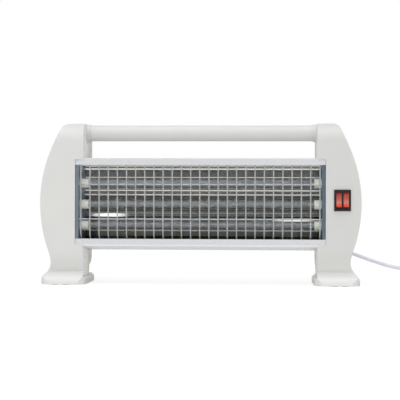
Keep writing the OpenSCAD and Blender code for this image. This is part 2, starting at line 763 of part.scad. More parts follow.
module cap_retainer() {
  foot_h = 7;
  low = tube_z[tube_count - 1] - flange_d / 2 - 3;
  high = tube_z[0] + flange_d / 2 + 3;
  y = [tube_y - retainer_w / 2, tube_y + retainer_w / 2];
  difference() {
    union() {
      box([retainer_x, retainer_x + retainer_t], y, [low, high]);
      box([cheek_out + fit_gap, retainer_x + retainer_t], y, [low - retainer_t, low + eps]);
      box([cheek_out + fit_gap, retainer_x + retainer_t], y, [high - eps, high + retainer_t]);
      box([cheek_out + fit_gap, cheek_out + fit_gap + retainer_t], y, [low - foot_h, low]);
      box([cheek_out + fit_gap, cheek_out + fit_gap + retainer_t], y, [high, high + foot_h]);
    }
    for (z = tube_z) rod_x(retainer_x - 1, retainer_x + 2, neck_d + 2 * slip_gap, [tube_y, z]);
  }
}
module left_cap_retainer() color([0.7, 0.71, 0.73]) on_side(-1) cap_retainer();
module right_cap_retainer() color([0.7, 0.71, 0.73]) cap_retainer();

module tube_terminals() color([0.78, 0.68, 0.42]) {
  for (s = [-1, 1], z = tube_z) on_side(s) {
    rod_x(pin_in_x, pin_out_x, pin_d, [tube_y, z]);
    box([pin_out_x - eps, tab_x], [tube_y - 3.1, tube_y + 3.1], [z - 0.4, z + 0.4]);
  }
}

// ---------- wiring ----------

function tab_point(s, i, dx = 0) = [s * (tab_x + dx), tube_y, tube_z[i]];
// Where the middle of a rear tab of the switch meets the switch's body.
function switch_tab(i) = [switch_x + (i - 1) * 4, body_back_y, switch_z + (1 - i) * 9];

// The return lead joins the left ends of the tubes and comes back under the reflector.
module return_lead() color([0.92, 0.92, 0.9]) {
  x = tab_x + 8;
  tube_along([
    tab_point(-1, 0), tab_point(-1, 0, 6), [-x - 6, tube_y, tube_z[0] - 8], [-x - 6, tube_y, tube_z[1] + 8],
    tab_point(-1, 1, 6), tab_point(-1, 1)
  ], lead_d, 6);
  tube_along([
    tab_point(-1, 2), tab_point(-1, 2, 6), [-x - 4, tube_y + 1, tube_z[2] - 9],
    [-x - 3, tube_y + 4, lead_z + 7], [-x, lead_y - 6, lead_z + 1], [-x + 6, lead_y, lead_z],
    [x - 4, lead_y, lead_z], [x + 4, lead_y + 2, lead_z + 6], [x + 6, 24, block_z - 6],
    [x + 6, block_back_y - block_d, block_z]
  ], lead_d, 6);
}

// One lead from each right-hand terminal to the switch.
module switch_leads() color([0.92, 0.92, 0.9]) {
  for (i = [0 : tube_count - 1]) {
    goal = switch_tab(i) + [0, switch_tab_len, 0];
    tube_along([
      tab_point(1, i), tab_point(1, i, 4), [goal[0], tube_y - 3, (tube_z[i] + goal[2]) / 2],
      goal + [0, 5, 0], goal
    ], lead_d, 6);
  }
}

module switch_body() color([0.07, 0.07, 0.08]) difference() {
  union() {
    box([switch_x - bezel_w / 2, switch_x + bezel_w / 2], [-half_d - bezel_t, -half_d],
      [switch_z - bezel_h / 2, switch_z + bezel_h / 2]);
    box([switch_x - body_w / 2, switch_x + body_w / 2], [-half_d - eps, body_back_y],
      [switch_z - body_h / 2, switch_z + body_h / 2]);
  }
  for (s = [-1, 1]) {
    x = switch_x + s * rocker_pitch / 2;
    box([x - window_w / 2, x + window_w / 2], [-half_d - bezel_t - 1, well_y],
      [switch_z - window_h / 2, switch_z + window_h / 2]);
    rod_x(x - window_w / 2 - 0.95, x + window_w / 2 + 0.95, pivot_d + 2 * run_gap, [pivot_y, switch_z]);
  }
}

// A rocker, drawn level about its pivot: a shallow V in front, inside the circle that its ends sweep.
module rocker(s) color([0.93, 0.27, 0.12])
  translate([switch_x + s * rocker_pitch / 2, pivot_y, switch_z]) rotate([-rocker_tilt, 0, 0]) {
    intersection() {
      along_x([[-2.6, 0], [-4.4, -rocker_r], [2.2, -rocker_r], [2.2, rocker_r], [-4.4, rocker_r]],
        -rocker_w / 2, rocker_w / 2);
      rod_x(-rocker_w, rocker_w, 2 * rocker_r, [0, 0]);
    }
    rod_x(-window_w / 2 - 0.6, window_w / 2 + 0.6, pivot_d, [0, 0]);
  }
module left_rocker() rocker(-1);
module right_rocker() rocker(1);

module switch_tabs() color([0.78, 0.68, 0.42])
  for (i = [0 : tube_count - 1])
    translate(switch_tab(i) - [0.4, 0, 3]) cube([0.8, switch_tab_len, 6]);

module thermal_cutout() color([0.15, 0.15, 0.16]) {
  at = [cutout_y, (tube_z[1] + tube_z[2]) / 2];
  rod_x(cheek_out + fit_gap, cheek_out + 8, cutout_d, at);
  rod_x(cheek_out + fit_gap, cheek_out + 1.5, cutout_d + 3, at);
}

module terminal_block() color([0.9, 0.9, 0.88]) difference() {
  box([block_x, block_x + block_w], [block_back_y - block_d, block_back_y], [block_z, block_z + block_h]);
  for (x = [block_x + block_w / 4, block_x + block_w * 3 / 4])
    translate([x, block_back_y - block_d + 5, block_z + 8]) cylinder(d = 4, h = block_h);
}

module tip_switch() color([0.12, 0.12, 0.13]) difference() {
  translate([tip_x - tip_switch_w / 2, tip_y - tip_switch_d / 2, tip_base_z])
    cube([tip_switch_w, tip_switch_d, tip_switch_h]);
  translate([tip_x, tip_y, tip_base_z - 1]) cylinder(d = tip_d + 2 * move_gap, h = 10);
}

module tip_plunger() color([0.85, 0.2, 0.15])
  translate([tip_x, tip_y, 0]) cylinder(d = tip_d, h = tip_base_z + 7);

// ---------- cord ----------

module strain_relief() color([0.9, 0.9, 0.93]) difference() {
  union() {
    rod_y(half_d - wall - 4, half_d + eps, relief_root_d, [exit_x, exit_z]);
    rod_y(half_d, half_d + relief_flange, relief_root_d + 4, [exit_x, exit_z]);
    translate([exit_x, half_d + relief_flange - eps, exit_z]) rotate([-90, 0, 0])
      cylinder(d1 = relief_root_d, d2 = relief_tip_d, h = relief_len - relief_flange);
  }
  rod_y(half_d - wall - 5, relief_end_y + 1, cord_d, [exit_x, exit_z]);
}

module supply_cord() color([0.85, 0.85, 0.9]) {
  tube_along(route, cord_d, 8);
  tube_along(tail, cord_d, 8);
}

function coil_r(t) =
  let (s = t - layer_turns)
  s < 0 ? coil_inner_r - coil_pitch * s :
  s > 0.5 ? coil_inner_r + coil_pitch * (s - 0.5) : coil_inner_r - coil_pitch * s + 2 * coil_pitch * s * s;
function coil_rise(t) = let (s = max(0, min(1, 2 * (t - layer_turns)))) coil_pitch * s * s * (3 - 2 * s);
function coil_line() = let (x = coil_start[0], y = coil_start[1]) concat(
  [[x, y + cord_d, coil_z]],
  [for (k = [0 : coil_loops * coil_steps])
    let (t = k / coil_steps, a = 180 + 360 * t)
    [coil_mid[0] + coil_r(t) * cos(a), coil_mid[1] + coil_r(t) * sin(a), coil_z + coil_rise(t)]],
  [[x, y - cord_d, coil_top_z]]
);
echo(coil_least_gap = least_gap(coil_line(), cord_d, coil_steps - 8));

function length_of(path, i = 1) = i == len(path) ? 0 : norm(path[i] - path[i - 1]) + length_of(path, i + 1);
echo(cord_length = relief_len + length_of(route) + length_of(coil_line()) + length_of(tail));

module cord_coil() color([0.85, 0.85, 0.9]) tube_along(coil_line(), cord_d, 6);

// A band round all the turns, on the far side of the coil from where the cord comes in.
module coil_tie() color([0.2, 0.2, 0.22]) {
  x0 = coil_mid[0] + coil_inner_r + coil_pitch * 0.25 - cord_d / 2 - tie_slack;
  x1 = coil_mid[0] + coil_inner_r + coil_pitch * (layer_turns - 0.5) + cord_d / 2 + tie_slack;
  z1 = coil_top_z + cord_d / 2 + slip_gap;
  r = cord_d / 2;
  inner = [[x0, tie_t, r], [x1, tie_t, r], [x1, z1, r], [x0, z1, r]];
  difference() {
    along_y(rounded(inset(inner, -tie_t)), coil_mid[1] - tie_w / 2, coil_mid[1] + tie_w / 2);
    along_y(rounded(inner), coil_mid[1] - tie_w, coil_mid[1] + tie_w);
  }
}

module plug_body() color([0.88, 0.88, 0.92]) {
  x = tail[5][0];
  outline = [
    [x - plug_w / 2, 0, 9], [x + plug_w / 2, 0, 9], [x + plug_w / 2, plug_h, 9], [x - plug_w / 2, plug_h, 9]
  ];
  along_y(rounded(outline), plug_y - plug_len, plug_y);
  translate([x, plug_y - eps, tail_z]) rotate([-90, 0, 0]) cylinder(d1 = 20, d2 = 9, h = plug_neck + eps);
}

module plug_pins() color([0.8, 0.8, 0.82])
  for (s = [-1, 1]) {
    at = [tail[5][0] + s * plug_pin_pitch / 2, tail_z];
    rod_y(plug_y - plug_len - pin_len + plug_pin_d / 2, plug_y - plug_len, plug_pin_d, at);
    translate([at[0], plug_y - plug_len - pin_len + plug_pin_d / 2, at[1]]) sphere(d = plug_pin_d);
  }

left_side_cover();
right_side_cover();
left_inner_plate();
right_inner_plate();
left_base_plate();
right_base_plate();
foot_pads();
base_screws();
plate_screws();
handle_tube();
handle_tie_rod();
tie_rod_nuts();
housing();
reflector();
left_cheek();
right_cheek();
cheek_screws();
grille_wires();
grille_rods();
upper_quartz_tube();
middle_quartz_tube();
lower_quartz_tube();
upper_filament();
middle_filament();
lower_filament();
left_ceramic_caps();
right_ceramic_caps();
left_cap_retainer();
right_cap_retainer();
tube_terminals();
return_lead();
switch_leads();
switch_body();
left_rocker();
right_rocker();
switch_tabs();
thermal_cutout();
terminal_block();
tip_switch();
tip_plunger();
strain_relief();
supply_cord();
cord_coil();
coil_tie();
plug_body();
plug_pins();
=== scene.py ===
import json
import math

import bmesh
import bpy
from mathutils import Matrix, Vector


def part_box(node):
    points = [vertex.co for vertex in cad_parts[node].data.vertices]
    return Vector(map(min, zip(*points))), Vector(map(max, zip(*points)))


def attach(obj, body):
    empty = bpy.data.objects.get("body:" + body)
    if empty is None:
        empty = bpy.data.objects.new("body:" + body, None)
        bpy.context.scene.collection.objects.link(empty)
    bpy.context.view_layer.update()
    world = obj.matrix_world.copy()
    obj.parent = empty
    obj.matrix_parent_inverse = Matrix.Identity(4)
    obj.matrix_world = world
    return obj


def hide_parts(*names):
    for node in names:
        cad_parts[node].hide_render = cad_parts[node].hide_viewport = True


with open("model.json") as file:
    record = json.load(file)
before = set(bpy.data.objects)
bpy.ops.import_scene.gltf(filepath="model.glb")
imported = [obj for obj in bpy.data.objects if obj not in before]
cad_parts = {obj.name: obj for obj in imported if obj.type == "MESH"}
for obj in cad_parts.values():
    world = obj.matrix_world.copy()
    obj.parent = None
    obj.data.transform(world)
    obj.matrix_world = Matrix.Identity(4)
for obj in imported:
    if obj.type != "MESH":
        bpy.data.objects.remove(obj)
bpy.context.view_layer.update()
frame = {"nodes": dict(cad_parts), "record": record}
NODES = frame["nodes"]
MM = 0.001


def put(name, data):
    """A new object in the scene."""
    obj = bpy.data.objects.new(name, data)
    bpy.context.scene.collection.objects.link(obj)
    return obj


# ---------- camera ----------

CAMERA_AT = (90.5, -1700.0, 122.6)      # mm
CAMERA_YAW = math.radians(3.11)         # to the left of +Y
CAMERA_PITCH = math.radians(0.205)      # upwards
CAMERA_ROLL = math.radians(0.173)
FOCAL_PX = 1100.3                       # on a picture 400 px wide
PICTURE_PX = 400
SENSOR_MM = 36.0
CLIP_NEAR, CLIP_FAR = 0.05, 60.0        # m


def make_camera():
    yaw, pitch, roll = CAMERA_YAW, CAMERA_PITCH, CAMERA_ROLL
    forward = Vector((-math.sin(yaw) * math.cos(pitch), math.cos(yaw) * math.cos(pitch), math.sin(pitch)))
    right = Vector((math.cos(yaw), math.sin(yaw), 0.0))
    up = right.cross(forward)
    side = right * math.cos(roll) + up * math.sin(roll)
    top = up * math.cos(roll) - right * math.sin(roll)
    data = bpy.data.cameras.new("camera")
    data.sensor_width = SENSOR_MM
    data.lens = FOCAL_PX / PICTURE_PX * SENSOR_MM
    data.clip_start, data.clip_end = CLIP_NEAR, CLIP_FAR
    camera = put("camera", data)
    turn = Matrix((side, top, -forward)).transposed().to_4x4()
    camera.matrix_world = Matrix.Translation(Vector(CAMERA_AT) * MM) @ turn
    bpy.context.scene.camera = camera


make_camera()

# ---------- lines and pieces ----------


def smooth_line(points, steps=4):
    """A Catmull-Rom line through the points."""
    p = [Vector(q) for q in points]
    p = [2 * p[0] - p[1]] + p + [2 * p[-1] - p[-2]]
    out = []
    for i in range(1, len(p) - 2):
        for k in range(steps):
            t = k / steps
            out.append(0.5 * (2 * p[i] + (p[i + 1] - p[i - 1]) * t
                              + (2 * p[i - 1] - 5 * p[i] + 4 * p[i + 1] - p[i + 2]) * t * t
                              + (3 * p[i] - p[i - 1] - 3 * p[i + 1] + p[i + 2]) * t ** 3))
    return out + [p[-2]]


def directions(line):
    """The direction of a line at each of its points."""
    last = len(line) - 1
    return [(line[min(i + 1, last)] - line[max(i - 1, 0)]).normalized() for i in range(last + 1)]


def new_piece(name, bm):
    """A mesh piece that rides on the heater."""
    bmesh.ops.recalc_face_normals(bm, faces=bm.faces)
    data = bpy.data.meshes.new(name)
    bm.to_mesh(data)
    bm.free()
    obj = put(name, data)
    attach(obj, "heater")
    return obj


def join_rings(bm, rings, closed=False):
    """Quads between neighbouring rings of vertices; the ends are capped where the row isn't closed."""
    count = len(rings[0])
    for a, b in zip(rings, rings[1:] + rings[:1] if closed else rings[1:]):
        for k in range(count):
            bm.faces.new((a[k], a[(k + 1) % count], b[(k + 1) % count], b[k]))
    if not closed:
        bm.faces.new(rings[0])
        bm.faces.new(rings[-1])


def tube_piece(name, points, diameter, sides):
    """A round tube along a line of points in mm."""
    line = [Vector(q) for q in points]
    ahead = directions(line)
    side = ahead[0].orthogonal().normalized()
    angles = [math.tau * k / sides for k in range(sides)]
    bm = bmesh.new()
    rings = []
    for at, along in zip(line, ahead):
        side = (side - along * side.dot(along)).normalized()
        up = along.cross(side)
        rings.append([
            bm.verts.new((at + (side * math.cos(a) + up * math.sin(a)) * diameter / 2) * MM) for a in angles
        ])
    join_rings(bm, rings)
    return new_piece(name, bm)


# ---------- supply cord, mm ----------

CORD_D = 6.0
CORD_SIDES = 20
CORD_EXIT = (216, 75.5, 56)
ROUTE = [
    CORD_EXIT, (216, 83, 55.8), (217.5, 91, 54.6), (222, 99, 52.4), (229, 105.5, 48.8),
    (238, 110.5, 44.4), (247, 113.5, 40.6), (260, 116.5, 35.8), (273, 118.5, 31.2),
    (286, 119.8, 26.8), (298, 120.2, 23.2), (310, 120.2, 20.4), (321, 120, 18.3), (331, 118.5, 16),
    (340, 114.5, 13.6), (347.5, 108, 11.2), (352.5, 99.5, 8.9), (354.8, 90, 6.8), (355, 81, 5),
    (355, 73, 4), (355, 66, 4),
]
COIL_START = (355.0, 60.0)
COIL_LOOPS = 6
COIL_STEPS = 36             # points in a loop
COIL_INNER_R = 25.0
COIL_GAP = 0.7              # between neighbouring turns
COIL_PITCH = CORD_D + COIL_GAP
TIE_T = 0.8                 # the tie's band, which runs under the coil
TIE_GAP = 0.2               # between the band and the cord
COIL_Z = TIE_T + TIE_GAP + CORD_D / 2
TURN_BACK = 0.5             # the part of a turn in which the coil reverses and climbs
LAYER_TURNS = (COIL_LOOPS - TURN_BACK) / 2
TAIL = [
    (355, 54, COIL_Z + COIL_PITCH), (355, 47, COIL_Z + COIL_PITCH), (355, 41, 11), (355, 35, 11.6),
    (355, 29, 12), (355, 23, 12),
]


def coil_points():
    """The coil winds in at floor level, climbs in the half turn where it reverses, and winds out on top."""
    mid_x = COIL_START[0] + COIL_INNER_R + COIL_PITCH * LAYER_TURNS
    points = []
    for k in range(COIL_LOOPS * COIL_STEPS + 1):
        t = k / COIL_STEPS
        s = t - LAYER_TURNS
        if s < 0:
            r = COIL_INNER_R - COIL_PITCH * s
        elif s > TURN_BACK:
            r = COIL_INNER_R + COIL_PITCH * (s - TURN_BACK)
        else:
            r = COIL_INNER_R - COIL_PITCH * s + COIL_PITCH * s * s / TURN_BACK
        climb = max(0.0, min(1.0, s / TURN_BACK))
        z = COIL_Z + COIL_PITCH * climb * climb * (3 - 2 * climb)
        a = math.pi + math.tau * t
        points.append((mid_x + r * math.cos(a), COIL_START[1] + r * math.sin(a), z))
    return points


cord_line = smooth_line(ROUTE) + [Vector(p) for p in coil_points()] + smooth_line(TAIL)
supply_cord = tube_piece("supply_cord_line", cord_line, CORD_D, CORD_SIDES)
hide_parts("supply_cord", "cord_coil")

# ---------- node trees ----------

NOISE_LOW, NOISE_HIGH = 0.3, 0.7        # the values of a noise that give the ends of a range
COLOUR_A, COLOUR_B, COLOUR_OUT = 6, 7, 2        # the colour sockets of a mix node
VALUE_A, VALUE_B, VALUE_OUT = 2, 3, 0           # its value sockets


class Tree:
    """A small helper round a node tree."""

    def __init__(self, tree):
        self.tree = tree

    def add(self, kind, **values):
        node = self.tree.nodes.new(kind)
        for key, value in values.items():
            if key in node.inputs:
                node.inputs[key].default_value = value
            else:
                setattr(node, key, value)
        return node

    def link(self, a, b):
        self.tree.links.new(a, b)

    def axes(self, coordinates="Object"):
        """X, Y and Z of texture coordinates. Object coordinates are in metres and ride with the piece."""
        split = self.add("ShaderNodeSeparateXYZ")
        self.link(self.add("ShaderNodeTexCoord").outputs[coordinates], split.inputs[0])
        return split.outputs

    def calc(self, operation, a, b=None):
        """An operation on a value, with another value or a number where it takes two."""
        node = self.add("ShaderNodeMath", operation=operation)
        self.link(a, node.inputs[0])
        if isinstance(b, float):
            node.inputs[1].default_value = b
        elif b is not None:
            self.link(b, node.inputs[1])
        return node.outputs[0]

    def span(self, value, start, end, low, high, **options):
        """Low up to the start, high from the end, and a slope between them."""
        node = self.add("ShaderNodeMapRange", **options)
        for key, number in (("From Min", start), ("From Max", end), ("To Min", low), ("To Max", high)):
            node.inputs[key].default_value = number
        self.link(value, node.inputs["Value"])
        return node.outputs["Result"]


class Nodes(Tree):
    """A material's node tree, with its principled shader."""

    def __init__(self, name):
        self.material = bpy.data.materials.new(name)
        self.material.use_nodes = True
        super().__init__(self.material.node_tree)
        self.shader = self.tree.nodes["Principled BSDF"]

    def set(self, **values):
        for key, value in values.items():
            self.shader.inputs[key.replace("_", " ")].default_value = value

    def colour(self, socket):
        self.link(socket, self.shader.inputs["Base Color"])

    def noise(self, scale, detail=2.0, stretch=(1, 1, 1), roughness=0.5):
        mapping = self.add("ShaderNodeMapping")
        mapping.inputs["Scale"].default_value = stretch
        self.link(self.add("ShaderNodeTexCoord").outputs["Object"], mapping.inputs["Vector"])
        noise = self.add("ShaderNodeTexNoise", Scale=scale, Detail=detail, Roughness=roughness)
        self.link(mapping.outputs["Vector"], noise.inputs["Vector"])
        return noise.outputs["Fac"]

    def spread(self, noise, low, high):
        """Maps a noise to a range."""
        return self.span(noise, NOISE_LOW, NOISE_HIGH, low, high)

    def tint(self, fac, dark, light, start=NOISE_LOW, end=NOISE_HIGH):
        """The base colour, between two by a factor."""
        ramp = self.add("ShaderNodeValToRGB")
        for element, at, colour in zip(ramp.color_ramp.elements, (start, end), (dark, light)):
            element.position, element.color = at, (*colour, 1)
        self.link(fac, ramp.inputs["Fac"])
        self.colour(ramp.outputs["Color"])
        return ramp.outputs["Color"]

    def over(self, fac, base, colour):
        """The base colour, with a plain colour laid over another by a factor."""
        mix = self.add("ShaderNodeMix", data_type="RGBA")
        self.link(fac, mix.inputs["Factor"])
        self.link(base, mix.inputs[COLOUR_A])
        mix.inputs[COLOUR_B].default_value = (*colour, 1)
        self.colour(mix.outputs[COLOUR_OUT])
        return mix.outputs[COLOUR_OUT]

    def rough(self, noise, low, high):
        self.link(self.spread(noise, low, high), self.shader.inputs["Roughness"])

    def bump(self, fac, distance, strength):
        node = self.add("ShaderNodeBump", Distance=distance, Strength=strength)
        self.link(fac, node.inputs["Height"])
        self.link(node.outputs["Normal"], self.shader.inputs["Normal"])


def srgb(r, g, b):
    """An sRGB colour of 0 to 255 as linear values."""
    def linear(v):
        v /= 255
        return v / 12.92 if v <= 0.04045 else ((v + 0.055) / 1.055) ** 2.4
    return linear(r), linear(g), linear(b)


def shaded(colour, by):
    """A darker or lighter colour."""
    return tuple(min(1.0, c * by) for c in colour)


# ---------- plastics and coats ----------

MOULD_GRAIN = 0.00003                   # depth of the spark-eroded grain, m
MOTTLE = 0.02                           # cloudiness of the white mouldings
RIGHT_COVER = (0.1, 0.2)                # x over which the painted shade on the right cover sets in, m
ABOVE_FOOT = (0.028, 0.045)             # z above the right foot over which that painted shade sets in, m
FOOT_ENDS = (0.018, 0.034)              # z over which the painted light on the feet fades, m
# How much darker the painted shade makes the right cover, and how much lighter the painted light makes the feet
RIGHT_PAINTED_SHADE, FOOT_PAINTED_LIGHT = 0.93, 1.05
LOWER_FOLD = (0.0592, 0.0612)           # z over which the painted light on the housing's lower fold ends, m
# How much lighter the painted light makes the lower fold
FOLD_PAINTED_LIGHT = 1.32
PLATE_PAINTED_LIGHT_ENDS = (-0.008, 0.014)           # y over which the painted light on the inner plates' front turns into painted shade behind, m
COLLAR_WITHIN = (0.1762, 0.1768)        # x inside which an inner plate is its collar, painted greyer as shade at the handle's root, m


def mould_surface(m, rough, grain=MOULD_GRAIN):
    """The fine grain and uneven gloss of moulded plastic."""
    m.rough(m.noise(60, 2), rough - 0.05, rough + 0.06)
    m.set(Specular_IOR_Level=0.4)
    m.bump(m.noise(1800, 2), grain, 0.35)


def moulded(name, colour, rough, grain=MOULD_GRAIN, mottle=MOTTLE):
    """Moulded plastic, with a faint cloudiness of colour."""
    m = Nodes(name)
    m.tint(m.noise(14, 3), shaded(colour, 1 - mottle), shaded(colour, 1 + mottle))
    mould_surface(m, rough, grain)
    return m.material


def cover_plastic(name, colour):
    """The covers' moulded white, with painted shade that makes the right one greyer above its foot, and painted
    light that makes the feet whiter.
    """
    m = Nodes(name)
    cloud = m.tint(m.noise(14, 3), shaded(colour, 1 - MOTTLE), shaded(colour, 1 + MOTTLE))
    at = m.axes()
    # Painted shade over the right cover above its foot, then painted light over the feet
    right = m.calc("MULTIPLY", m.span(at["X"], *RIGHT_COVER, 0.0, 1.0), m.span(at["Z"], *ABOVE_FOOT, 0.0, 1.0))
    grey = m.over(right, cloud, shaded(colour, RIGHT_PAINTED_SHADE))
    m.over(m.span(at["Z"], *FOOT_ENDS, 1.0, 0.0), grey, shaded(colour, FOOT_PAINTED_LIGHT))
    mould_surface(m, 0.45)
    return m.material


def inner_plate(name):
    """The inner plates: moulded white, with painted light on their front part, a painted yellowish shadow and
    reflection towards the back, and a collar painted greyer as shade at the handle's root.
    """
    m = Nodes(name)
    at = m.axes()
    # Painted light in front, painted shadow and reflection behind, and painted shade on the collar
    forward = m.span(at["Y"], *PLATE_PAINTED_LIGHT_ENDS, 1.0, 0.0)
    face = m.tint(forward, srgb(226, 225, 212), srgb(252, 252, 249), 0.0, 1.0)
    collar = m.span(m.calc("ABSOLUTE", at["X"]), *COLLAR_WITHIN, 1.0, 0.0)
    m.over(collar, face, srgb(212, 212, 209))
    mould_surface(m, 0.5)
    return m.material


def powder_coat(name, colour):
    """Powder coat: orange peel, a very fine sparkle of grey specks, and painted light, standing for the floor's
    bounce, that makes the lower fold whiter.
    """
    m = Nodes(name)
    coat = m.tint(m.noise(900, 3, roughness=0.7), shaded(colour, 0.9), shaded(colour, 1.06), 0.36, 0.62)
    # Painted light on the lower fold
    m.over(m.span(m.axes()["Z"], *LOWER_FOLD, 1.0, 0.0), coat, shaded(colour, FOLD_PAINTED_LIGHT))
    m.rough(m.noise(300), 0.34, 0.48)
    m.set(Specular_IOR_Level=0.5)
    m.bump(m.noise(700, 2), 0.00005, 0.4)
    return m.material


def soft_pvc(name, colour, rough=0.4):
    """Soft plastic or rubber."""
    m = Nodes(name)
    m.tint(m.noise(30, 3), shaded(colour, 0.97), shaded(colour, 1.02))
    m.rough(m.noise(120), rough - 0.06, rough + 0.08)
    m.bump(m.noise(900, 2), 0.00003, 0.4)
    return m.material


# The rockers' orange-red colours by the share of their height, with painted shade at both ends and a painted pale
# pink reflection over the middle
ROCKER_PAINTED_BANDS = (
    (0.00, (96, 8, 4)), (0.07, (150, 18, 8)), (0.12, (222, 62, 26)), (0.24, (232, 84, 44)),
    (0.31, (214, 122, 112)), (0.45, (206, 112, 104)), (0.72, (192, 92, 78)), (0.84, (182, 84, 66)),
    (0.90, (172, 46, 34)), (0.97, (150, 34, 28)), (1.00, (96, 20, 18)),
)
BAND_SHIFT = 0.04           # how far the bands waver


def lens_red(name):
    """The rockers' translucent orange-red moulding, with painted shade at both ends and a painted pale reflection
    over the middle.
    """
    m = Nodes(name)
    shift = m.spread(m.noise(90, 2), -BAND_SHIFT, BAND_SHIFT)
    ramp = m.add("ShaderNodeValToRGB")
    bands = ramp.color_ramp.elements
    while len(bands) < len(ROCKER_PAINTED_BANDS):
        bands.new(0.5)
    for band, (at, colour) in zip(bands, ROCKER_PAINTED_BANDS):
        band.position, band.color = at, (*srgb(*colour), 1)
    m.link(m.calc("ADD", m.axes("Generated")["Z"], shift), ramp.inputs["Fac"])
    m.colour(ramp.outputs["Color"])
    m.set(Transmission_Weight=0.08, Subsurface_Weight=0.2, Subsurface_Scale=0.002,
          Subsurface_Radius=(1.0, 0.35, 0.2), Coat_Weight=0.4, Coat_Roughness=0.2, IOR=1.5)
    m.rough(m.noise(200), 0.26, 0.36)
    m.bump(m.noise(1200), 0.00001, 0.3)
    return m.material


# ---------- metals, quartz and ceramic ----------

FINE_MARKS = 0.000006       # depth of rolling and drawing marks, m
ROLLED = (0.25, 3, 3)       # stretch of the marks along the reflector
UPRIGHT = (1, 1, 0.25)      # and of those up the cheeks
CHEEK_PAINTED_LIGHT = (-0.1, 0.1)   # x over which the left cheek's painted light turns into the right one's painted shade, m

# Painted highlights along the folds, pale lines that the fold light lights: z of the middle and half width in mm,
# and how strong each is. The first is the upper wing, painted pale all over as a painted reflection.
PAINTED_FOLD_HIGHLIGHTS = (
    (185.5, 4.0, 1.0), (177.2, 1.0, 0.62), (164.3, 0.5, 0.5), (143.6, 1.1, 1.0), (137.0, 1.0, 0.34),
    (110.2, 0.5, 0.2), (80.8, 0.4, 0.15),
)
# Painted shade in the corners of the middle trough and of the folds above it, standing for dark reflections: z of
# the middle, half width in mm, how dark
PAINTED_FOLD_SHADES = ((113.9, 2.0, 0.5), (129.3, 1.2, 0.4), (140.8, 0.8, 0.5), (179.9, 0.9, 0.9))
# Painted highlights on the lower ridge: x of both ends and how softly they end,
# z of the middle and half width, mm
GLINTS = ((-165.0, -126.0, 13.0, 104.8, 2.5), (120.0, 168.0, 12.0, 97.9, 1.9))
HIGHLIGHT_EDGE, SHADE_EDGE, GLINT_EDGE = 0.35, 0.8, 0.9        # how softly each of them ends in z, mm
DARK_REFLECTION_BELOW = 80.5           # z of the lowest fold, below which lies a painted dark reflection, mm
DARK_REFLECTION_EDGE = 1.0             # mm
# The colour of the painted dark reflection on the lowest fold and of the painted shade in the corners
DARK_REFLECTION_COLOUR = (0.13, 0.13, 0.12)
# The colour of the painted highlights, and their roughness
HIGHLIGHT_COLOUR = (0.97, 0.95, 0.90)
HIGHLIGHT_ROUGHNESS = 0.7
HIGHLIGHT_THROUGH = 0.8          # how strong the painted highlight is where none of it looks like metal


def polished_sheet(name):
    """Thin polished aluminium with rolling lines, painted highlights along the folds and on the lower ridge, painted
    shade in corners and a painted dark reflection on the lower edge.
    """
    m = Nodes(name)
    m.set(Metallic=1.0)
    at = m.axes()

    def band(value, middle, half, full, soft):
        """Full strength within half a width of the middle and none outside, in mm."""
        away = m.calc("ABSOLUTE", m.calc("SUBTRACT", value, middle * MM))
        return m.span(away, (half - soft) * MM, (half + soft) * MM, full, 0.0)

    def bands(rows, soft):
        """The strongest of some bands across the height."""
        out = band(at["Z"], *rows[0], soft)
        for row in rows[1:]:
            out = m.calc("MAXIMUM", out, band(at["Z"], *row, soft))
        return out

    # Painted highlights along the folds and painted glints, unevenly strong, which turn the metal pale and rough
    highlight_unevenness = m.spread(m.noise(30, 3, (1, 0.2, 0.2)), 0.75, 1.0)
    painted_highlight = m.calc("MULTIPLY", bands(PAINTED_FOLD_HIGHLIGHTS, HIGHLIGHT_EDGE), highlight_unevenness)
    for x0, x1, fade, z, half in GLINTS:
        along = band(at["X"], (x0 + x1) / 2, (x1 - x0) / 2, 1.0, fade)
        patch = m.calc("MULTIPLY", along, band(at["Z"], z, half, 1.0, GLINT_EDGE))
        painted_highlight = m.calc("MAXIMUM", painted_highlight, patch)
    rolled = m.tint(m.noise(40, 3, ROLLED), (0.76, 0.755, 0.73), (0.85, 0.845, 0.825))
    # Painted dark reflection on the lowest fold and painted shade in the corners, over the rolled colour
    lowest = m.span(at["Z"], (DARK_REFLECTION_BELOW - DARK_REFLECTION_EDGE) * MM, DARK_REFLECTION_BELOW * MM, 1.0, 0.0)
    painted_dark = m.over(m.calc("MAXIMUM", lowest, bands(PAINTED_FOLD_SHADES, SHADE_EDGE)), rolled, DARK_REFLECTION_COLOUR)
    m.over(painted_highlight, painted_dark, HIGHLIGHT_COLOUR)
    m.link(m.span(painted_highlight, 0.0, HIGHLIGHT_THROUGH, 1.0, 0.0), m.shader.inputs["Metallic"])
    rough = m.add("ShaderNodeMix")
    m.link(painted_highlight, rough.inputs["Factor"])
    m.link(m.spread(m.noise(68, 3, ROLLED), 0.07, 0.16), rough.inputs[VALUE_A])
    rough.inputs[VALUE_B].default_value = HIGHLIGHT_ROUGHNESS
    m.link(rough.outputs[VALUE_OUT], m.shader.inputs["Roughness"])
    m.bump(m.noise(1200, 2, ROLLED), FINE_MARKS, 0.4)
    return m.material


def metal(name, colour, low, high, scale):
    """Bare metal, a little uneven in colour and gloss."""
    m = Nodes(name)
    m.set(Metallic=1.0)
    m.tint(m.noise(scale, 3), shaded(colour, 0.9), shaded(colour, 1.05))
    m.rough(m.noise(scale * 1.7, 3), low, high)
    m.bump(m.noise(scale * 30, 2), FINE_MARKS, 0.4)
    return m.material


